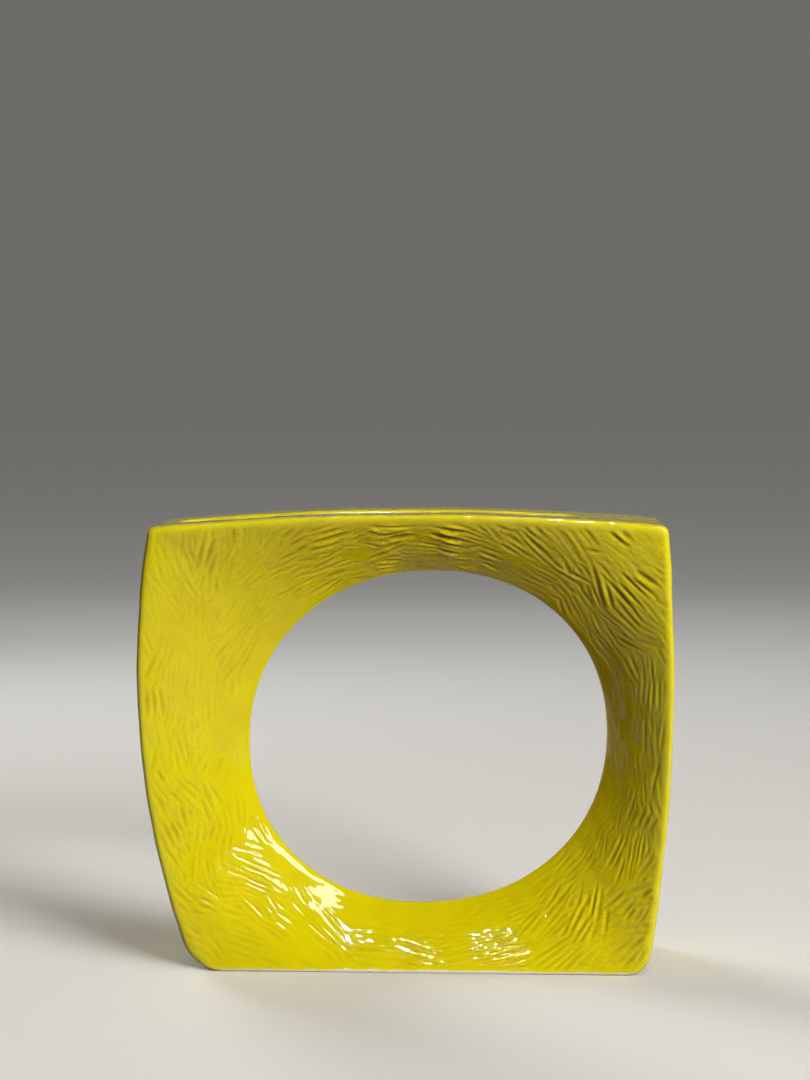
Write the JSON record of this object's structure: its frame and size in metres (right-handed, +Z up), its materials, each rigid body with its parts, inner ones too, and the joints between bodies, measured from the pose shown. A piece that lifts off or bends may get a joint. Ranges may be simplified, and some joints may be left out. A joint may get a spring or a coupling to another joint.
{
  "type": "ikebana vase",
  "caption": "Hollow frame-shaped ceramic vase on a flat foot, with a large oval opening through it and a slot mouth along its top edge for stems.",
  "frame": {"origin": "on the table, under the middle of the vase's width and depth", "axes": "+X along the width to the right as seen from the front, +Y to the back, +Z up"},
  "size_m": [0.261, 0.0696, 0.2238],
  "materials": {
    "yellow_glaze": "glossy lemon-yellow glaze over combed clay",
    "bare_clay": "unglazed off-white clay"
  },
  "bodies": {
    "root": {"front_face": "yellow_glaze", "back_face": "yellow_glaze", "left_side": "yellow_glaze", "right_side": "yellow_glaze", "rim": "yellow_glaze", "base": "bare_clay"}
  },
  "joints": []
}
